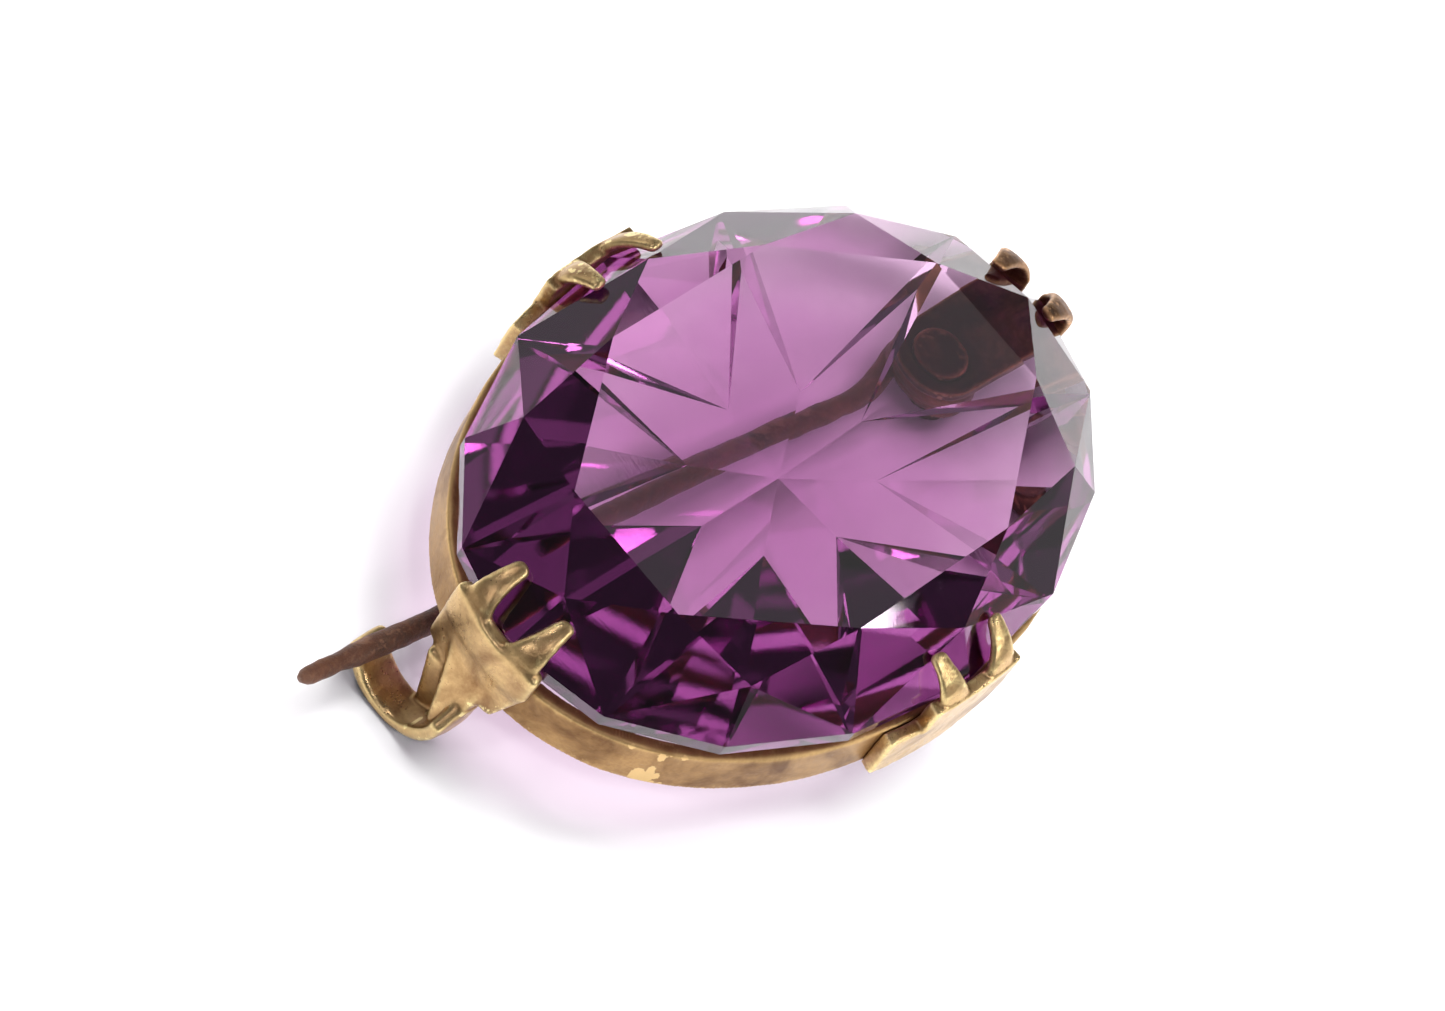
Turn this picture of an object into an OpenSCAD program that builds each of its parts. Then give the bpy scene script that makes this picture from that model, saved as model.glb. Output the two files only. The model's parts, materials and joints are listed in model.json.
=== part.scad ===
// Oval claw-set brooch: a faceted stone on an open gallery ring, held by four
// two-pronged claws, with a side-swinging pin and an open hook catch at the back.
// +X points from the catch to the pivot and +Z out of the stone's face. The origin
// is the middle of the outline, on the plane that the catch and rivet rest on.

/* [Stone] */
// Length of the stone across its girdle
stone_l = 25; // [16:0.5:40]
// Width of the stone across its girdle
stone_w = 18; // [12:0.5:30]
// Height of the crown above the girdle
crown_h = 2.1; // [1.4:0.1:3.5]
// Thickness of the girdle
girdle_t = 0.5; // [0.3:0.05:0.8]
// Depth of the pavilion below the girdle
pavilion_h = 3.5; // [2.4:0.1:3.8]
// Size of the table as a share of the girdle
table_ratio = 0.73; // [0.6:0.01:0.8]
// Where the pavilion's steep outer tier ends, as a share of the girdle
knee_ratio = 0.75; // [0.6:0.01:0.85]
// Share of the pavilion's depth that its outer tier takes
knee_share = 0.45; // [0.35:0.01:0.6]

/* [Gallery ring] */
// Height of the ring strip
ring_h = 2; // [1.7:0.1:3]
// Thickness of the ring strip
ring_t = 0.5; // [0.35:0.05:0.8]
// Gap between the ring's inner edge and the stone that rests on it
seat_gap = 0.04; // [0.02:0.01:0.1]

/* [Claws] */
// Thickness of the claw sheet
claw_t = 0.5; // [0.35:0.05:0.7]
// Width of the claws at the two ends of the stone
end_claw_w = 3.6; // [3:0.1:5]
// Width of the claws at the two sides of the stone
side_claw_w = 4.8; // [3.4:0.1:6]
// Distance between the two tips of a claw
tip_spacing = 2.8; // [2:0.1:3.4]
// Width of a prong where it leaves its claw
prong_w = 1.5; // [1:0.05:1.7]
// Width of a prong at its tip
prong_tip_w = 0.6; // [0.4:0.05:0.8]
// How far the prongs of the end claws reach in over the crown
end_reach = 1.2; // [0.8:0.05:1.6]
// How far the prongs of the side claws reach in over the crown
side_reach = 0.9; // [0.6:0.05:1.3]
// Gap between the claws and the stone
claw_gap = 0.05; // [0.03:0.01:0.12]

/* [Catch] */
// Outer radius of the hook's bend
hook_r = 2.1; // [1.6:0.1:2.8]
// Thickness of the hook strip
hook_t = 0.4; // [0.3:0.05:0.6]
// Width of the hook strip along the pin
hook_w = 1.4; // [1:0.1:2.2]
// Gap between the pin and the hook where it passes over the lip
lip_gap = 0.06; // [0.05:0.01:0.2]

/* [Pin] */
// Diameter of the pin wire
pin_d = 0.8; // [0.6:0.05:1.2]
// Diameter of the thinner end of the pin
point_d = 0.62; // [0.4:0.02:1]
// Length of pin that stands out past the hook
pin_overhang = 2.7; // [1.8:0.1:5]
// Sideways angle of the pin from the long axis
pin_angle = 7.2; // [5:0.1:9]
// Height that the pin gains between its eye and the hook
pin_rise = 0.6; // [0:0.05:1]
// Outer diameter of the coiled eye
eye_d = 2.9; // [2.4:0.1:3.6]

/* [Pivot] */
// Diameter of the rivet's shank
rivet_d = 1; // [0.8:0.05:1.2]
// Diameter of the rivet's heads
rivet_head_d = 1.9; // [1.6:0.1:2.3]
// Distance of the pivot in from the end of the stone
pivot_inset = 4.6; // [3.6:0.1:5.6]
// Thickness of the hinge plate
hinge_plate_t = 0.5; // [0.4:0.05:0.8]
// Width of the hinge plate
hinge_plate_w = 3; // [2.6:0.1:4]
// Least thickness of the washer above the eye
washer_t = 0.25; // [0.15:0.05:0.5]
// Play between the turning eye and what it touches
run_gap = 0.05; // [0.03:0.01:0.1]

/* [Hidden] */
$fn = 64;

brass = "#b8965a";
worn_brass = "#c2a25f";
copper = "#6b4434";
amethyst = "#8b3f8e";

half_l = stone_l / 2;
half_w = stone_w / 2;

// Facet pattern: eight mains, drawn on a circle and stretched to the oval.
mains = 8;
main_step = 360 / mains;
first_main = main_step / 2;
kite_side_ratio = 0.87;
pavilion_star_ratio = 0.3;

// The pivot and the hook along the stone.
pivot_x = half_l - pivot_inset;
pivot_y = 0.45;
hook_overlap = 0.25;
hook_back_x = -(half_l + claw_t - hook_overlap);
hook_front_x = hook_back_x - hook_w;
hook_mid_x = (hook_back_x + hook_front_x) / 2;
pin_slope = tan(pin_angle);

// Heights, measured from the upper edge of the girdle.
lower_facet_steepness = 1.08;
outer_tier_slope = pavilion_h * knee_share / ((1 - knee_ratio) * half_w);
seat_drop = lower_facet_steepness * outer_tier_slope * ring_t + seat_gap;
ring_top = -girdle_t - seat_drop;
ring_bottom = ring_top - ring_h;
hinge_plate_bottom = ring_bottom - hinge_plate_t;
eye_h = 1.8 * pin_d;

// The washer grows where the pin would otherwise meet the stone beside its culet.
pin_clear = 0.1;
pin_side_ratio = (pivot_y + pivot_x * pin_slope - pin_d / 2) / half_w;
pin_gain = pin_rise * pivot_x / (pivot_x - hook_mid_x);
pin_mid_limit = pavilion_z(pin_side_ratio) - pin_clear - pin_gain - pin_d / 2;
washer_limit = pin_mid_limit + eye_h / 2 + run_gap;
washer_bottom = min(hinge_plate_bottom - washer_t, washer_limit);
eye_top = washer_bottom - run_gap;
eye_bottom = eye_top - eye_h;
eye_mid = (eye_top + eye_bottom) / 2;
lower_head_top = eye_bottom - run_gap;
lower_head_t = 0.65;
upper_head_t = 0.35;
base = lower_head_top - lower_head_t;

// The ring and the claws share one grid of points round the oval.
grid_n = 120;
grid_step = 360 / grid_n;

// Where each claw sits, in grid points from the pivot end.
catch_claw_k = 59;
pivot_claw_k = 1;
upper_claw_k = 31;
lower_claw_k = 90;
side_tail = 0.5;
neck_top = 0.2;

// The line of the pin.
pin_run = (pivot_x - hook_mid_x) / cos(pin_angle);
pin_tilt = atan(pin_rise / pin_run);
pin_hook_y = pivot_y + (pivot_x - hook_mid_x) * pin_slope;
pin_hook_z = eye_mid + pin_rise;
stem_to_hook = (pivot_x - hook_front_x) / cos(pin_angle);
taper_start_share = 0.2;
point_start = stem_to_hook + taper_start_share * pin_overhang;
point_taper = 0.55;
point_end = stem_to_hook + pin_overhang;
point_cone = 0.5;

// The hook is a circle that the wire lies against on its open side.
hook_inner_r = hook_r - hook_t;
pin_side_gap = 0.03;
hook_y = pin_hook_y + pin_d / 2 + pin_side_gap - hook_inner_r;
hook_z = base + hook_r;
lip_z = pin_hook_z - pin_d / 2 - lip_gap;
lip_bead_r = 0.27;
tail_t = 0.45;
tail_x = -(half_l + claw_gap);

// The outline's middle sits at the origin.
point_x = pivot_x - point_end * cos(pin_angle) * cos(pin_tilt);
far_x = half_l + claw_t + claw_gap;
shift_x = -(point_x + far_x) / 2;

// A point on the oval, moved out along its normal and given a height.
function oval_normal(t) =
    let (nx = cos(t) / half_l, ny = sin(t) / half_w, n = norm([nx, ny]))
    [nx / n, ny / n];
function oval(t, out = 0) =
    [half_l * cos(t), half_w * sin(t)] + out * oval_normal(t);
function speed(t) =
    norm([half_l * sin(t), half_w * cos(t)]) * PI / 180;
function lift(p, z) = [p[0], p[1], z];

// Moves a module from girdle height to the resting plane.
module seated() {
    translate([shift_x, 0, -base])
        children();
}

// Upright sheet that follows the oval between two grid points.
module oval_sheet(k0, k1, inner, outer, z0, z1) {
    inside = [for (k = [k0:k1]) oval(k * grid_step, inner)];
    outside = [for (k = [k1:-1:k0]) oval(k * grid_step, outer)];
    translate([0, 0, z0])
        linear_extrude(z1 - z0)
            polygon(concat(inside, outside));
}

// --- Stone ---------------------------------------------------------------

function girdle_point(i, z) =
    lift(oval(i * main_step / 2), z);
function inner_point(ratio, t, z) =
    [half_l * ratio * cos(t), half_w * ratio * sin(t), z];

// Height of a main facet, at a share of the girdle's radius along its middle.
function crown_z(r) = crown_h * (1 - r) / (1 - table_ratio);
function pavilion_z(r) =
    -girdle_t - pavilion_h * (r > knee_ratio
        ? knee_share * (1 - r) / (1 - knee_ratio)
        : knee_share + (1 - knee_share) * (knee_ratio - r) / knee_ratio);
half_cos = cos(main_step / 2);
function kite_side(j) =
    inner_point(kite_side_ratio, j * main_step, crown_z(kite_side_ratio * half_cos));

// Height of the crown's outer facets above a point: the lowest of their planes.
function plane_height(a, b, c, p) =
    let (n = cross(b - a, c - a))
    a[2] - (n[0] * (p[0] - a[0]) + n[1] * (p[1] - a[1])) / n[2];
function crown_height(p) =
    min([for (i = [0:2 * mains - 1])
        plane_height(girdle_point(i, 0), girdle_point(i + 1, 0), kite_side(ceil(i / 2)), p)]);

module stone() {
    rim = 2 * mains;
    upper = [for (i = [0:rim - 1]) girdle_point(i, 0)];
    lower = [for (i = [0:rim - 1]) girdle_point(i, -girdle_t)];
    table = [for (j = [0:mains - 1])
        inner_point(table_ratio, first_main + j * main_step, crown_h)];
    kite_sides = [for (j = [0:mains - 1]) kite_side(j)];
    stars = [for (j = [0:mains - 1])
        inner_point(pavilion_star_ratio, j * main_step,
            pavilion_z(pavilion_star_ratio * half_cos))];
    knees = [for (j = [0:mains - 1])
        inner_point(knee_ratio, first_main + j * main_step, pavilion_z(knee_ratio))];
    culet = [[0, 0, pavilion_z(0)]];
    low0 = rim;
    table0 = 2 * rim;
    kite0 = table0 + mains;
    star0 = kite0 + mains;
    knee0 = star0 + mains;
    tip = knee0 + mains;
    faces = concat(
        [[for (j = [mains - 1:-1:0]) table0 + j]],
        [for (j = [0:mains - 1]) each
            let (
                j2 = (j + 1) % mains,
                even = 2 * j,
                odd = 2 * j + 1,
                next = (2 * j + 2) % rim
            )
            [
                // star, kite and the two upper girdle facets
                [table0 + j, table0 + j2, kite0 + j2],
                [table0 + j, kite0 + j2, odd, kite0 + j],
                [kite0 + j, odd, even],
                [kite0 + j2, next, odd],
                // girdle
                [even, odd, low0 + odd, low0 + even],
                [odd, next, low0 + next, low0 + odd],
                // outer tier of the pavilion, in four triangles
                [star0 + j, low0 + even, low0 + odd],
                [star0 + j, low0 + odd, knee0 + j],
                [star0 + j2, knee0 + j, low0 + odd],
                [star0 + j2, low0 + odd, low0 + next],
                // inner tier
                [tip, star0 + j, knee0 + j],
                [tip, knee0 + j, star0 + j2]
            ]]
    );
    color(amethyst)
        seated()
            polyhedron(concat(upper, lower, table, kite_sides, stars, knees, culet), faces);
}

// --- Gallery ring --------------------------------------------------------

module gallery_ring() {
    color(brass)
        seated()
            translate([0, 0, ring_bottom])
                linear_extrude(ring_h)
                    difference() {
                        polygon([for (k = [0:grid_n - 1]) oval(k * grid_step)]);
                        polygon([for (k = [0:grid_n - 1]) oval(k * grid_step, -ring_t)]);
                    }
}

// --- Claws ---------------------------------------------------------------

// A prong's centre line, as distance out from the girdle and height. It runs up
// the claw, then bends in over the crown and comes down onto it at the tip.
bend_n = 8;
prong_t = 0.9 * claw_t;
tip_t = 0.75 * prong_t;
prong_out = claw_gap + claw_t / 2;
foot_spread = 0.68 * tip_spacing / 2;
function bend(u, reach, tip_z) =
    let (
        start = [prong_out, -0.15],
        knee = [prong_out, 0.3 * reach + 0.35 * tip_z],
        end = [-reach, tip_z]
    )
    (1 - u) * (1 - u) * start + 2 * u * (1 - u) * knee + u * u * end;

// Closed skin through a list of rings with the same number of points.
module skin(rings) {
    n = len(rings[0]);
    m = len(rings);
    points = [for (ring = rings) each ring];
    sides = [for (i = [0:m - 2], j = [0:n - 1]) each
        let (a = i * n + j, b = i * n + (j + 1) % n)
        [[a, b, b + n], [a, b + n, a + n]]];
    first = [for (j = [n - 1:-1:0]) j];
    last = [for (j = [0:n - 1]) (m - 1) * n + j];
    polyhedron(points, concat(sides, [first, last]));
}

// One ring of a prong: an oval of width w and thickness t, across the path.
prong_sides = 12;
function prong_ring(tc, side, s, path, dir, w, t) =
    let (
        lateral = side * s,
        a = tc + lateral / speed(tc),
        n = oval_normal(a),
        along = [-n[1], n[0], 0],
        across = [n[0] * dir[1], n[1] * dir[1], -dir[0]],
        centre = lift(oval(a, path[0]), path[1])
    )
    [for (j = [0:prong_sides - 1])
        let (
            q = j * 360 / prong_sides,
            c = cos(q),
            e = sin(q),
            cw = sign(c) * pow(abs(c), 0.75) * w / 2,
            ct = sign(e) * pow(abs(e), 0.75) * t / 2
        )
        centre + cw * along + ct * across];

module prong(tc, side, reach, z_foot) {
    spread = tip_spacing / 2;
    tip_at = oval(tc + side * spread / speed(tc), -reach);
    slope = crown_height(tip_at) / reach;
    tip_z = crown_height(tip_at) + claw_gap + 0.5 * tip_t * sqrt(1 + slope * slope);
    arc = [for (i = [0:bend_n]) bend(i / bend_n, reach, tip_z)];
    path = concat([[prong_out, z_foot]], arc);
    m = len(path);
    rings = [for (i = [0:m - 1])
        let (
            u = max(0, (i - 1) / (m - 2)),
            before = path[max(0, i - 1)],
            after = path[min(m - 1, i + 1)],
            dir = (after - before) / norm(after - before),
            w = prong_w + (prong_tip_w - prong_w) * u,
            t = prong_t + (tip_t - prong_t) * u,
            s = foot_spread + (spread - foot_spread) * u
        )
        prong_ring(tc, side, s, path[i], dir, w, t)];
    // A last, smaller ring rounds the tip.
    end_dir = (path[m - 1] - path[m - 2]) / norm(path[m - 1] - path[m - 2]);
    tip = path[m - 1] + 0.3 * tip_t * end_dir;
    round_ring = prong_ring(tc, side, spread, tip, end_dir, 0.6 * prong_tip_w, 0.5 * tip_t);
    skin(concat(rings, [round_ring]));
}

// A claw: a sheet soldered to the ring, a narrower neck beside the girdle, and
// two prongs. The pivot claw has no neck, so it doesn't show past the stone.
// tail_end lengthens the sheet along the ring on one side.
module claw(k, width, reach, neck = true, tail_end = 0) {
    tc = k * grid_step;
    half_k = max(2, round(width / 2 / speed(tc) / grid_step));
    tail_k = round(tail_end / speed(tc) / grid_step);
    neck_k = max(1, round((foot_spread + prong_w / 2) / speed(tc) / grid_step));
    color(worn_brass)
        seated() {
            oval_sheet(k - half_k - max(0, -tail_k), k + half_k + max(0, tail_k),
                0, claw_t, ring_bottom, ring_top);
            if (neck)
                oval_sheet(k - neck_k, k + neck_k,
                    claw_gap, claw_t + claw_gap, ring_top - 0.5 * claw_t, neck_top);
            for (side = [-1, 1])
                prong(tc, side, reach, ring_top - 0.3);
        }
}

module catch_end_claw() {
    claw(catch_claw_k, end_claw_w, end_reach);
}

module pivot_end_claw() {
    claw(pivot_claw_k, end_claw_w, end_reach, false);
}

module upper_side_claw() {
    claw(upper_claw_k, side_claw_w, side_reach, true, side_tail);
}

module lower_side_claw() {
    claw(lower_claw_k, side_claw_w, side_reach, true, -side_tail);
}

// --- Catch ---------------------------------------------------------------

// The hook's outline across the pin: a bend that starts at the claw's side and
// ends in a beaded lip just under the pin.
lip_drop = hook_z - (lip_z - lip_bead_r);
hook_mid_r = hook_r - hook_t / 2;
lip_angle = -asin(lip_drop / hook_mid_r);

module hook_outline() {
    arc_n = 40;
    start = 180;
    stop = 360 + lip_angle;
    turn = [for (i = [0:arc_n]) start + (stop - start) * i / arc_n];
    outer = [for (q = turn) [hook_y + hook_r * cos(q), hook_z + hook_r * sin(q)]];
    inner = [for (i = [arc_n:-1:0])
        [hook_y + hook_inner_r * cos(turn[i]), hook_z + hook_inner_r * sin(turn[i])]];
    polygon(concat(outer, inner));
    translate([hook_y + hook_mid_r * cos(stop), hook_z + hook_mid_r * sin(stop)])
        circle(lip_bead_r);
}

// The strip that carries the hook down from the claw.
module tail_outline() {
    near_y = hook_y - hook_r + 0.08;
    polygon([
        [near_y, ring_bottom],
        [hook_y + 0.15, ring_bottom],
        [hook_y - 0.4, hook_z - 0.82 * hook_r],
        [hook_y - 0.5 * hook_r, hook_z - 0.8 * hook_r],
        [near_y, hook_z - 0.2 * hook_r]
    ]);
}

// The near side of the bend widens from the claw's thickness to the hook's width.
module gusset_outline() {
    polygon([
        [tail_x, ring_bottom],
        [tail_x - tail_t, ring_bottom],
        [hook_front_x, hook_z],
        [hook_front_x, hook_z - 0.05],
        [tail_x, hook_z - 0.05]
    ]);
}

// Sets a drawing of (y, z) upright, from x = x0 towards the front.
module upright(x0, width) {
    translate([x0, 0, 0])
        rotate([90, 0, -90])
            mirror([1, 0, 0])
                linear_extrude(width)
                    children();
}

module catch_hook() {
    color(brass)
        seated() {
            upright(hook_back_x, hook_w)
                hook_outline();
            upright(tail_x, tail_t)
                tail_outline();
            translate([0, hook_y - hook_r + hook_t, 0])
                rotate([90, 0, 0])
                    linear_extrude(hook_t)
                        gusset_outline();
        }
}

// --- Pivot ---------------------------------------------------------------

plate_end_inset = 0.15;
washer_step = 0.3;

module hinge_plate() {
    plate_end = half_l - plate_end_inset;
    color(brass)
        seated()
            translate([0, 0, hinge_plate_bottom])
                linear_extrude(hinge_plate_t)
                    difference() {
                        union() {
                            translate([pivot_x, pivot_y])
                                circle(d = hinge_plate_w);
                            translate([pivot_x, pivot_y - hinge_plate_w / 2])
                                square([plate_end - pivot_x, hinge_plate_w]);
                        }
                        translate([pivot_x, pivot_y])
                            circle(d = rivet_d);
                    }
}

module pivot_washer() {
    color(worn_brass)
        seated()
            translate([pivot_x, pivot_y, washer_bottom])
                difference() {
                    cylinder(h = hinge_plate_bottom - washer_bottom, d = eye_d - washer_step);
                    translate([0, 0, -1])
                        cylinder(h = hinge_plate_bottom - washer_bottom + 2,
                            d = rivet_d + 2 * run_gap);
                }
}

module pivot_rivet() {
    color(copper)
        seated()
            translate([pivot_x, pivot_y, 0]) {
                translate([0, 0, base])
                    cylinder(h = lower_head_t, d = rivet_head_d);
                translate([0, 0, lower_head_top])
                    cylinder(h = ring_bottom - lower_head_top, d = rivet_d);
                translate([0, 0, ring_bottom])
                    cylinder(h = upper_head_t, d = rivet_head_d);
            }
}

// --- Pin -----------------------------------------------------------------

module pin() {
    eye_r = eye_d / 2;
    bore_r = rivet_d / 2 + run_gap;
    corner = 0.3;
    stem_start = (eye_r + bore_r) / 2;
    color(copper)
        seated()
            translate([pivot_x, pivot_y, 0]) {
                // The coiled eye, with rounded outer corners.
                rotate_extrude()
                    polygon([
                        [bore_r, eye_bottom],
                        [eye_r - corner, eye_bottom],
                        [eye_r, eye_bottom + corner],
                        [eye_r, eye_top - corner],
                        [eye_r - corner, eye_top],
                        [bore_r, eye_top]
                    ]);
                // The stem, its thinner end and its blunt point.
                translate([0, 0, eye_mid])
                    rotate([0, 0, 180 - pin_angle])
                        rotate([0, 90 - pin_tilt, 0]) {
                            translate([0, 0, stem_start])
                                cylinder(h = point_start - stem_start, d = pin_d);
                            translate([0, 0, point_start])
                                cylinder(h = point_taper, d1 = pin_d, d2 = point_d);
                            translate([0, 0, point_start + point_taper])
                                cylinder(h = point_end - point_cone - point_start - point_taper,
                                    d = point_d);
                            translate([0, 0, point_end - point_cone])
                                cylinder(h = point_cone, d1 = point_d, d2 = 0.5 * point_d);
                        }
            }
}

stone();
gallery_ring();
catch_end_claw();
pivot_end_claw();
upper_side_claw();
lower_side_claw();
catch_hook();
hinge_plate();
pivot_washer();
pivot_rivet();
pin();
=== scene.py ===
import json
import math

import bmesh
import bpy
from mathutils import Matrix, Vector, noise


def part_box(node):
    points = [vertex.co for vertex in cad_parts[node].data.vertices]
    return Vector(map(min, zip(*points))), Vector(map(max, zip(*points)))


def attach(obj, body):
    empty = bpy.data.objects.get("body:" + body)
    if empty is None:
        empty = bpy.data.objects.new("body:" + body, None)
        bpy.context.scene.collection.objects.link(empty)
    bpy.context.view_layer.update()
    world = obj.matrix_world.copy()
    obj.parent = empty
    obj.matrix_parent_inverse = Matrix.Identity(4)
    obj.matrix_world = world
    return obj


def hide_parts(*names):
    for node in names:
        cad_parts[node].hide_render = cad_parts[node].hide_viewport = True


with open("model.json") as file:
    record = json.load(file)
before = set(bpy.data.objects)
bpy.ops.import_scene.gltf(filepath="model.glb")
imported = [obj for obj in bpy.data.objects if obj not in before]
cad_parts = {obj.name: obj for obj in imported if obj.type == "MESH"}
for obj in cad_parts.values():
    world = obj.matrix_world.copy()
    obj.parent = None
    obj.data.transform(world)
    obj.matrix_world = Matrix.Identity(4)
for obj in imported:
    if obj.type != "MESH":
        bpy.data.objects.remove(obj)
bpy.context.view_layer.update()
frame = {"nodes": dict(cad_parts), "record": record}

MM = 0.001
record = frame["record"]
nodes = frame["nodes"]
scene = bpy.context.scene

# Places that come from the CAD model.
stone_lo, stone_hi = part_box("stone")
ring_lo, ring_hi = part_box("gallery_ring")
pin_lo, pin_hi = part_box("pin")
hook_lo, hook_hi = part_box("catch_hook")
claw_lo, claw_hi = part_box("catch_end_claw")
pivot = Vector(record["behaviour"]["joints"][0]["pos_m"])
point_mount = [m for m in record["mounts"] if m["name"] == "pin_point"][0]
centre = (stone_lo + stone_hi) / 2
CROWN = 2.1 * MM
STEM_R = 0.4 * MM
COIL_WIRE_R = 0.36 * MM
COIL_TURNS = 2
TAPER = 0.55 * MM
girdle_z = stone_hi.z - CROWN


# --- Camera --------------------------------------------------------------

cam_data = bpy.data.cameras.new("camera")
cam = bpy.data.objects.new("camera", cam_data)
scene.collection.objects.link(cam)
scene.camera = cam
CAMERA_DISTANCE = 164.5
cam_right = Vector((0.684, -0.637, 0.354)).normalized()
cam_back = Vector((-0.578, -0.179, 0.796)).normalized()
cam_up = cam_back.cross(cam_right).normalized()
cam_right = cam_up.cross(cam_back)
spot = Vector((centre.x, centre.y, girdle_z))
spot += (cam_back * CAMERA_DISTANCE - cam_right * 2.08 - cam_up * 1.268) * MM
turn = Matrix((cam_right, cam_up, cam_back)).transposed()
cam.matrix_world = Matrix.Translation(spot) @ turn.to_4x4()
cam_data.lens = 128.3
cam_data.sensor_width = 36
cam_data.clip_start = 0.005
cam_data.clip_end = 10
cam_data.dof.use_dof = False


# --- Node helpers --------------------------------------------------------

class Nodes:
    """A short way to write a node material."""

    def __init__(self, name):
        self.mat = bpy.data.materials.new(name)
        self.mat.use_nodes = True
        self.tree = self.mat.node_tree
        self.tree.nodes.clear()
        self.out = self.add("ShaderNodeOutputMaterial")

    def add(self, kind, **values):
        node = self.tree.nodes.new(kind)
        for key, value in values.items():
            if hasattr(node, key):
                setattr(node, key, value)
            else:
                raise AttributeError(kind + " has no " + key)
        return node

    def link(self, a, b):
        self.tree.links.new(a, b)

    def put(self, socket, value):
        if isinstance(value, bpy.types.NodeSocket):
            self.link(value, socket)
        else:
            socket.default_value = value

    def coords(self, stretch=(1, 1, 1)):
        """Object coordinates in millimetres."""
        tex = self.add("ShaderNodeTexCoord")
        scale = self.add("ShaderNodeMapping")
        scale.inputs["Scale"].default_value = [1000 * s for s in stretch]
        self.link(tex.outputs["Object"], scale.inputs["Vector"])
        return scale.outputs["Vector"]

    def noise(self, vector, scale, detail=3, rough=0.55, warp=0):
        n = self.add("ShaderNodeTexNoise")
        self.link(vector, n.inputs["Vector"])
        n.inputs["Scale"].default_value = scale
        n.inputs["Detail"].default_value = detail
        n.inputs["Roughness"].default_value = rough
        n.inputs["Distortion"].default_value = warp
        return n.outputs["Fac"]

    def ramp(self, value, stops):
        r = self.add("ShaderNodeValToRGB")
        self.link(value, r.inputs["Fac"])
        e = r.color_ramp.elements
        while len(e) > len(stops):
            e.remove(e[-1])
        while len(e) < len(stops):
            e.new(1)
        for item, (at, colour) in zip(e, stops):
            item.position = at
            if not isinstance(colour, (tuple, list)):
                colour = (colour, colour, colour)
            item.color = (*colour, 1)
        return r.outputs["Color"]

    def mix(self, fac, a, b, blend="MIX"):
        m = self.add("ShaderNodeMix", data_type="RGBA", blend_type=blend)
        self.put(m.inputs[0], fac)
        self.put(m.inputs[6], a if isinstance(a, bpy.types.NodeSocket) else (*a, 1))
        self.put(m.inputs[7], b if isinstance(b, bpy.types.NodeSocket) else (*b, 1))
        return m.outputs[2]

    def math(self, op, a, b=0.0):
        m = self.add("ShaderNodeMath", operation=op)
        self.put(m.inputs[0], a)
        self.put(m.inputs[1], b)
        return m.outputs[0]

    def bump(self, height, strength, distance, normal=None):
        b = self.add("ShaderNodeBump")
        b.inputs["Strength"].default_value = strength
        b.inputs["Distance"].default_value = distance
        self.link(height, b.inputs["Height"])
        if normal:
            self.link(normal, b.inputs["Normal"])
        return b.outputs["Normal"]


def old_metal(name, deep, body, bright, tarnish=0.5, rough=(0.28, 0.5), pit=0.25):
    """Worn metal: bright on edges, brown in the hollows, with scratches and pits; recesses found by
    ambient occlusion are also darkened, which is painted shade.
    """
    n = Nodes(name)
    mm = n.coords()
    cloud = n.noise(mm, 0.45, 5, 0.6, 0.6)
    grain = n.noise(mm, 7, 4, 0.6)
    fine = n.noise(mm, 28, 2, 0.5)
    drag = n.noise(n.coords((0.5, 0.5, 6)), 3.2, 4, 0.7)
    geo = n.add("ShaderNodeNewGeometry")
    edge = n.ramp(geo.outputs["Pointiness"], [(0.5, 0.0), (0.56, 1.0)])
    hollow = n.ramp(geo.outputs["Pointiness"], [(0.44, 1.0), (0.495, 0.0)])
    # Painted shade: an ambient-occlusion mask that marks the recesses.
    occ = n.add("ShaderNodeAmbientOcclusion", samples=4)
    occ.inputs["Distance"].default_value = 0.7 * MM
    painted_shade = n.ramp(occ.outputs["AO"], [(0.35, 1.0), (0.85, 0.0)])
    patch = n.ramp(cloud, [(0.5 - 0.16 * tarnish, 0.0), (0.5 + 0.2 * (1.4 - tarnish), 1.0)])
    base = n.mix(patch, body, deep)
    base = n.mix(n.ramp(grain, [(0.38, 0.22), (0.62, 0.0)]), base, deep)
    base = n.mix(n.math("MULTIPLY", edge, 0.75), base, bright)
    base = n.mix(n.math("MULTIPLY", hollow, 0.8), base, deep)
    # Painted shade: recesses darkened toward the deep colour.
    base = n.mix(n.math("MULTIPLY", painted_shade, 0.85), base, deep)
    bsdf = n.add("ShaderNodeBsdfPrincipled")
    bsdf.inputs["Metallic"].default_value = 0.96
    n.link(base, bsdf.inputs["Base Color"])
    # Roughness follows the tarnish patches plus the painted-shade mask.
    worn = n.math("MULTIPLY", n.math("ADD", patch, painted_shade), 0.5)
    rub = n.math("ADD", n.math("MULTIPLY", grain, 0.25), n.math("MULTIPLY", worn, 0.3))
    low, high = rough
    n.link(n.ramp(rub, [(0.05, low), (0.45, high)]), bsdf.inputs["Roughness"])
    relief = n.math("ADD", n.math("MULTIPLY", grain, 0.6), n.math("MULTIPLY", fine, 0.25))
    relief = n.math("ADD", relief, n.math("MULTIPLY", drag, 0.16))
    pits = n.add("ShaderNodeTexVoronoi", feature="F1")
    n.link(mm, pits.inputs["Vector"])
    pits.inputs["Scale"].default_value = 3.1
    dents = n.ramp(pits.outputs["Distance"], [(0.0, 0.0), (0.22, 1.0)])
    normal = n.bump(dents, pit, 0.03 * MM)
    normal = n.bump(relief, 0.4, 0.035 * MM, normal)
    n.link(normal, bsdf.inputs["Normal"])
    n.link(bsdf.outputs[0], n.out.inputs["Surface"])
    return n.mat


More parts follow.
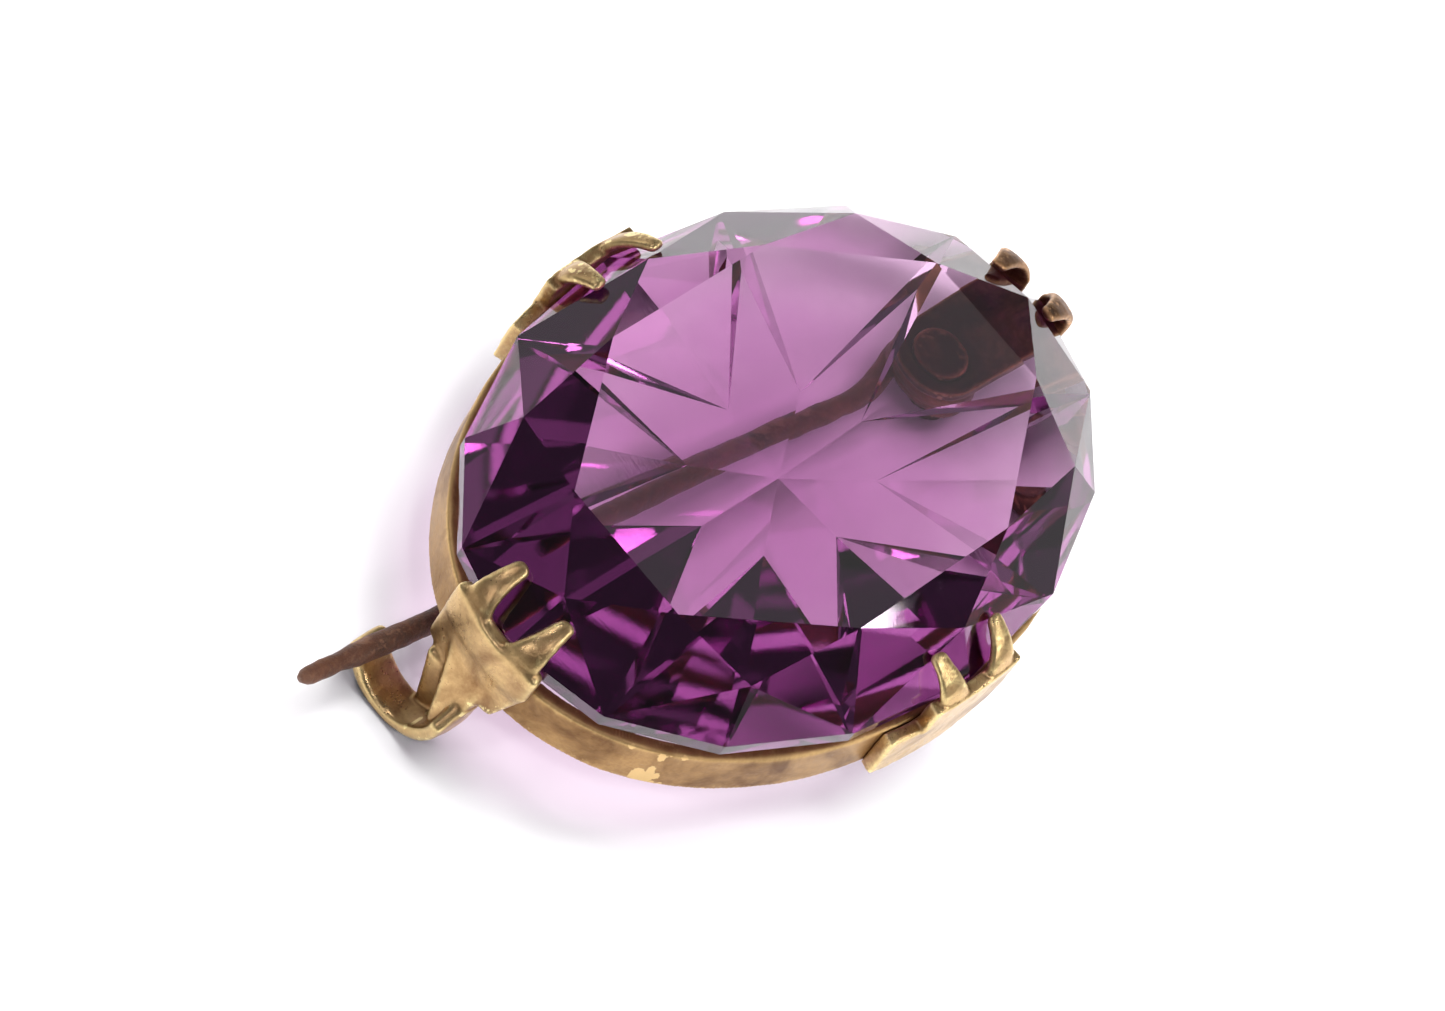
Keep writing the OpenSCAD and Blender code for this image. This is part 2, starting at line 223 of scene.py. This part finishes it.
def rusted_wire(name):
    """Dark brown oxidised wire with coppery high spots."""
    n = Nodes(name)
    mm = n.coords()
    blotch = n.noise(mm, 0.9, 5, 0.65, 0.8)
    grain = n.noise(mm, 5.5, 5, 0.7)
    fine = n.noise(mm, 22, 3, 0.6)
    geo = n.add("ShaderNodeNewGeometry")
    high = n.ramp(geo.outputs["Pointiness"], [(0.5, 0.0), (0.58, 1.0)])
    base = n.ramp(blotch, [(0.32, (0.022, 0.012, 0.01)), (0.5, (0.075, 0.03, 0.02)),
                           (0.68, (0.17, 0.075, 0.045))])
    base = n.mix(n.ramp(grain, [(0.5, 0.0), (0.68, 0.7)]), base, (0.24, 0.12, 0.075))
    base = n.mix(n.math("MULTIPLY", high, 0.5), base, (0.33, 0.17, 0.1))
    bsdf = n.add("ShaderNodeBsdfPrincipled")
    n.link(base, bsdf.inputs["Base Color"])
    n.link(n.ramp(blotch, [(0.35, 0.35), (0.65, 0.75)]), bsdf.inputs["Metallic"])
    n.link(n.ramp(grain, [(0.35, 0.32), (0.65, 0.62)]), bsdf.inputs["Roughness"])
    relief = n.math("ADD", n.math("MULTIPLY", blotch, 0.8), n.math("MULTIPLY", grain, 0.5))
    relief = n.math("ADD", relief, n.math("MULTIPLY", fine, 0.2))
    n.link(n.bump(relief, 0.8, 0.09 * MM), bsdf.inputs["Normal"])
    n.link(bsdf.outputs[0], n.out.inputs["Surface"])
    return n.mat


def gem(name):
    """Purple stone: clear inside, with a faintly worn and scratched surface."""
    n = Nodes(name)
    mm = n.coords()
    wear = n.noise(mm, 5, 5, 0.7)
    cloud = n.noise(mm, 0.35, 3, 0.5)
    scuff = n.noise(n.coords((6, 0.6, 1)), 1.4, 4, 0.75)
    bsdf = n.add("ShaderNodeBsdfPrincipled")
    n.link(n.ramp(cloud, [(0.35, (0.9, 0.66, 0.86)), (0.65, (0.98, 0.8, 0.93))]),
           bsdf.inputs["Base Color"])
    bsdf.inputs["IOR"].default_value = 1.76
    bsdf.inputs["Transmission Weight"].default_value = 1.0
    n.link(n.ramp(wear, [(0.5, 0.0), (0.75, 0.045)]), bsdf.inputs["Roughness"])
    n.link(n.bump(scuff, 0.05, 0.008 * MM), bsdf.inputs["Normal"])
    # Light passes through the stone, so its shadow is pale.
    clear = n.add("ShaderNodeBsdfTransparent")
    clear.inputs["Color"].default_value = (0.84, 0.815, 0.83, 1)
    light = n.add("ShaderNodeLightPath")
    join = n.add("ShaderNodeMixShader")
    n.link(light.outputs["Is Shadow Ray"], join.inputs[0])
    n.link(bsdf.outputs[0], join.inputs[1])
    n.link(clear.outputs[0], join.inputs[2])
    n.link(join.outputs[0], n.out.inputs["Surface"])
    soak = n.add("ShaderNodeVolumeAbsorption")
    soak.inputs["Color"].default_value = (0.6, 0.16, 0.56, 1)
    soak.inputs["Density"].default_value = 140
    n.link(soak.outputs[0], n.out.inputs["Volume"])
    return n.mat


# --- Mesh helpers --------------------------------------------------------

def new_object(name, mesh, material, body, slot_name, *stands_for):
    obj = bpy.data.objects.new(name, mesh)
    scene.collection.objects.link(obj)
    obj.data.materials.clear()
    obj.data.materials.append(material)
    for poly in obj.data.polygons:
        poly.use_smooth = True
    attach(obj, body)
    if stands_for:
        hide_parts(*stands_for)
    return obj


def lumps(mesh, amount, size, seed, fine=0.0):
    """Moves each vertex a little along its normal, for a hand-made surface."""
    shift = Vector((seed * 3.1, seed * 1.7, seed * 2.3))
    normals = [n.vector.copy() for n in mesh.vertex_normals]
    moved = []
    for v, normal in zip(mesh.vertices, normals):
        p = v.co / MM
        d = noise.noise(p / size + shift) * amount
        if fine:
            d += noise.noise(p / (size * 0.3) - shift) * fine
        moved.extend(v.co + normal * d * MM)
    mesh.vertices.foreach_set("co", moved)
    mesh.update()


def softened(cad, name, material, voxel, smooth, amount, size, seed, fine=0.0, shape=None,
             fill=(), swell=0.0):
    """A dense copy of one or more CAD nodes with rounded, worn edges. fill holds the
    corners of solid wedges that are run in at the joints, and swell makes up for wear."""
    cad = [cad] if isinstance(cad, str) else cad
    node = cad[0]
    bm = bmesh.new()
    for each in cad:
        bm.from_mesh(nodes[each].data)
    for corners in fill:
        fresh = [bm.verts.new(c) for c in corners]
        bmesh.ops.convex_hull(bm, input=fresh)
    mesh = bpy.data.meshes.new(name + "_work")
    bm.to_mesh(mesh)
    bm.free()
    obj = bpy.data.objects.new(name + "_work", mesh)
    scene.collection.objects.link(obj)
    re = obj.modifiers.new("re", "REMESH")
    re.mode = "VOXEL"
    re.voxel_size = voxel * MM
    sm = obj.modifiers.new("sm", "SMOOTH")
    sm.factor = 0.5
    sm.iterations = smooth
    dg = bpy.context.evaluated_depsgraph_get()
    made = bpy.data.meshes.new_from_object(obj.evaluated_get(dg))
    bpy.data.objects.remove(obj)
    made.name = name
    if swell:
        normals = [n.vector.copy() for n in made.vertex_normals]
        moved = [c for v, n in zip(made.vertices, normals) for c in v.co + n * swell * MM]
        made.vertices.foreach_set("co", moved)
        made.update()
    lumps(made, amount, size, seed, fine)
    if shape:
        shape(made)
    body = "pin" if node == "pin" else "setting"
    slot_name = [s["material_slot"] for s in record["subparts"] if s["node"] == node][0]
    return new_object(name, made, material, body, slot_name, *cad)


def tube(name, path, radii, sides, material, body, slot_name, *stands_for):
    """A closed swept tube along path, in metres."""
    bm = bmesh.new()
    rings = []
    up = Vector((0, 0, 1))
    last = None
    for i, p in enumerate(path):
        a = path[max(0, i - 1)]
        b = path[min(len(path) - 1, i + 1)]
        t = (b - a).normalized()
        if last is None:
            side = t.cross(up).normalized()
        else:
            side = (last - t * last.dot(t)).normalized()
        last = side
        other = t.cross(side)
        ring = []
        for k in range(sides):
            q = 2 * math.pi * k / sides
            ring.append(bm.verts.new(p + (side * math.cos(q) + other * math.sin(q)) * radii[i]))
        rings.append(ring)
    for i in range(len(rings) - 1):
        for k in range(sides):
            k2 = (k + 1) % sides
            bm.faces.new((rings[i][k], rings[i][k2], rings[i + 1][k2], rings[i + 1][k]))
    bm.faces.new(list(reversed(rings[0])))
    bm.faces.new(rings[-1])
    bmesh.ops.recalc_face_normals(bm, faces=bm.faces)
    mesh = bpy.data.meshes.new(name)
    bm.to_mesh(mesh)
    bm.free()
    return new_object(name, mesh, material, body, slot_name, *stands_for)


# --- Materials -----------------------------------------------------------

ring_metal = old_metal("ring_brass", (0.15, 0.07, 0.026), (0.42, 0.25, 0.1), (0.82, 0.58, 0.26),
                       0.6, (0.36, 0.6))
claw_metal = old_metal("claw_brass", (0.22, 0.11, 0.045), (0.6, 0.4, 0.185), (1.0, 0.84, 0.4),
                       0.4, (0.24, 0.48))
dark_metal = old_metal("dark_brass", (0.07, 0.03, 0.015), (0.4, 0.2, 0.09), (0.8, 0.48, 0.24),
                       0.8, (0.3, 0.55))
hinge_metal = old_metal("hinge_brass", (0.035, 0.016, 0.01), (0.13, 0.065, 0.035), (0.4, 0.24, 0.12),
                        0.9, (0.4, 0.65))
pivot_metal = old_metal("pivot_copper", (0.035, 0.014, 0.01), (0.16, 0.065, 0.035), (0.5, 0.25, 0.13),
                        0.8, (0.35, 0.6))
wire_metal = rusted_wire("pin_wire")
stone_look = gem("stone_purple")


# --- Stone: the CAD facets with faintly worn edges ------------------------

stone = nodes["stone"]
stone.data.materials.clear()
stone.data.materials.append(stone_look)
worn = stone.modifiers.new("worn_edges", "BEVEL")
worn.width = 0.035 * MM
worn.segments = 2
worn.limit_method = "ANGLE"
worn.angle_limit = math.radians(3)


# --- Metal of the setting -------------------------------------------------

def slant_corner(mesh):
    """Draws the catch claw's lower outer corner in, so that plate and hook run on."""
    low = ring_lo.z
    height = ring_hi.z - low
    side = claw_lo.y
    width = 1.6 * MM
    draw = 0.7 * MM
    for v in mesh.vertices:
        down = 1 - min(1.0, max(0.0, (v.co.z - low) / height))
        if v.co.z < low - 0.3 * MM or v.co.y > side + width:
            continue
        out = 1 - min(1.0, max(0.0, (v.co.y - side) / width))
        v.co.y += draw * out * out * down
    mesh.update()


softened("gallery_ring", "ring_strip", ring_metal, 0.075, 6, 0.05, 2.6, 1, 0.015)
def catch_wedge():
    """A wedge of solder that carries the claw's outer face down into the hook."""
    outer = claw_lo.x + 0.12 * MM
    inner = outer + 0.4 * MM
    near = hook_lo.y + 0.05 * MM
    top = ring_lo.z + 1.1 * MM
    corners = []
    for y in (claw_lo.y + 1.1 * MM, claw_hi.y - 1.0 * MM):
        corners += [Vector((outer, y, top)), Vector((inner, y, top))]
    for y in (near, near + 0.75 * MM):
        corners += [Vector((outer - 0.75 * MM, y, hook_lo.z + 1.35 * MM)),
                    Vector((inner, y, hook_lo.z + 1.35 * MM))]
    return corners


softened(["catch_end_claw", "catch_hook"], "claw_and_catch", claw_metal,
         0.055, 60, 0.03, 1.4, 2, 0.006, slant_corner, [catch_wedge()], 0.045)
softened("pivot_end_claw", "claw_pivot_end", dark_metal, 0.05, 14, 0.04, 1.2, 3, 0.015)
softened("upper_side_claw", "claw_upper_side", claw_metal, 0.05, 14, 0.04, 1.2, 4, 0.015)
softened("lower_side_claw", "claw_lower_side", claw_metal, 0.05, 14, 0.04, 1.2, 5, 0.015)
softened("hinge_plate", "plate", hinge_metal, 0.06, 5, 0.02, 1.0, 7)
softened("pivot_washer", "washer", hinge_metal, 0.045, 4, 0.008, 1.0, 8)
softened("pivot_rivet", "rivet", pivot_metal, 0.05, 8, 0.015, 0.8, 9)


# --- Pin: coiled eye, stem and blunt point --------------------------------

def pin_path():
    axis = Vector(point_mount["axis"])
    on_axis = Vector(point_mount["pos_m"])
    reach = axis.dot(on_axis - pivot)
    half = point_mount["dims"]["length_mm"] / 2 * MM
    end = reach + half + 0.46 * MM
    wire = COIL_WIRE_R
    coil_r = (pin_hi.x - pivot.x) - wire
    turns = COIL_TURNS
    steps = 44 * turns
    z_top = pivot.z + wire
    away = math.atan2(axis.y, axis.x)
    stop = away - math.radians(72)
    path, radii = [], []
    for i in range(steps + 1):
        u = i / steps
        q = stop - 2 * math.pi * turns * (1 - u)
        path.append(Vector((pivot.x + coil_r * math.cos(q), pivot.y + coil_r * math.sin(q),
                            z_top - 2 * wire * u)))
        radii.append(wire)
    # An easy bend from the coil onto the stem's own line.
    heading = Vector((-math.sin(stop), math.cos(stop), 0))
    a = path[-1].copy()
    straight = 3.6 * MM
    d = pivot + axis * straight
    b = a + heading * 1.1 * MM
    c = d - axis * 1.3 * MM
    for i in range(1, 15):
        u = i / 14
        w = 1 - u
        path.append(a * w ** 3 + b * 3 * u * w ** 2 + c * 3 * u * u * w + d * u ** 3)
        radii.append(wire + (STEM_R - wire) * u)
    thin = reach - half
    taper = thin - TAPER
    thin_r = point_mount["dims"]["r_mm"] * MM
    blunt = 0.35 * MM
    n = 120
    for i in range(1, n + 1):
        s = straight + (end - straight) * i / n
        path.append(pivot + axis * s)
        if s < taper:
            r = STEM_R
        elif s < thin:
            r = STEM_R + (thin_r - STEM_R) * (s - taper) / (thin - taper)
        else:
            r = thin_r
        back = end - s
        if back < blunt:
            r *= 0.45 + 0.55 * math.sqrt(max(0.0, 1 - (1 - back / blunt) ** 2))
        radii.append(r)
    return path, radii


path, radii = pin_path()
for i, p in enumerate(path):
    q = p / MM
    radii[i] *= 0.955 + 0.07 * noise.noise(Vector((q.x * 0.9, q.y, q.z)))
pin = tube("pin_wire", path, radii, 20, wire_metal, "pin", "pin_metal", "pin")
lumps(pin.data, 0.035, 0.7, 11, 0.02)


# --- Floor, light and world -----------------------------------------------

def make_floor():
    bm = bmesh.new()
    bmesh.ops.create_grid(bm, x_segments=8, y_segments=8, size=1.5)
    mesh = bpy.data.meshes.new("floor")
    bm.to_mesh(mesh)
    bm.free()
    obj = bpy.data.objects.new("floor", mesh)
    scene.collection.objects.link(obj)
    n = Nodes("floor_white")
    bsdf = n.add("ShaderNodeBsdfPrincipled")
    tone = n.ramp(n.noise(n.coords(), 0.01, 2), [(0.3, 0.9), (0.7, 0.93)])
    n.link(tone, bsdf.inputs["Base Color"])
    bsdf.inputs["Roughness"].default_value = 0.8
    bsdf.inputs["Specular IOR Level"].default_value = 0.2
    n.link(bsdf.outputs[0], n.out.inputs["Surface"])
    mesh.materials.append(n.mat)


def area(name, place, target, size, power, colour=(1, 1, 1)):
    data = bpy.data.lights.new(name, "AREA")
    data.shape = "RECTANGLE"
    data.size, data.size_y = size[0] * MM, size[1] * MM
    data.energy = power
    data.color = colour
    obj = bpy.data.objects.new(name, data)
    scene.collection.objects.link(obj)
    at = Vector(place) * MM
    obj.location = at
    obj.rotation_mode = "QUATERNION"
    obj.rotation_quaternion = (Vector(target) * MM - at).to_track_quat("-Z", "Y")
    return obj


make_floor()
# The key lights the floor; the stone and metal mirror the softer panels only.
key = area("key", (80, 0, 300), (0, 0, 5), (200, 180), 1.35)
key.visible_glossy = False
key.visible_transmission = False
area("haze", (176, 56, 244), (0, 0, 5), (170, 170), 0.032)
area("back", (40, 250, 110), (0, 0, 5), (160, 60), 0.05)
area("near", (80, -200, 150), (0, 0, 5), (150, 60), 0.16)
# Small bright lamps give the stone its sparks.
SPARK_DISTANCE = 280
sparks = ((100, 58), (160, 40), (215, 62), (265, 42), (330, 50))
for i, (turn_deg, lift_deg) in enumerate(sparks):
    a = math.radians(turn_deg)
    e = math.radians(lift_deg)
    place = (SPARK_DISTANCE * math.cos(e) * math.cos(a),
             SPARK_DISTANCE * math.cos(e) * math.sin(a),
             SPARK_DISTANCE * math.sin(e))
    area("spark_%d" % i, place, (0, 0, 5), (26, 26), 0.07, (1, 0.93, 1))

world = bpy.data.worlds.new("studio")
scene.world = world
world.use_nodes = True
wt = world.node_tree
wt.nodes.clear()
tc = wt.nodes.new("ShaderNodeTexCoord")
sep = wt.nodes.new("ShaderNodeSeparateXYZ")
wr = wt.nodes.new("ShaderNodeValToRGB")
bg = wt.nodes.new("ShaderNodeBackground")
wo = wt.nodes.new("ShaderNodeOutputWorld")
wt.links.new(tc.outputs["Generated"], sep.inputs[0])
wt.links.new(sep.outputs["Z"], wr.inputs["Fac"])
els = wr.color_ramp.elements
els[0].position = 0.12
els[0].color = (0.4, 0.4, 0.4, 1)
els[1].position = 0.45
els[1].color = (0.06, 0.055, 0.065, 1)
wt.links.new(wr.outputs["Color"], bg.inputs["Color"])
bg.inputs["Strength"].default_value = 1.0
wt.links.new(bg.outputs[0], wo.inputs["Surface"])

scene.view_settings.view_transform = "Standard"
scene.view_settings.look = "None"
scene.cycles.max_bounces = 20
scene.cycles.glossy_bounces = 14
scene.cycles.transmission_bounces = 20
scene.cycles.sample_clamp_indirect = 6
scene.cycles.caustics_refractive = False
scene.cycles.caustics_reflective = False
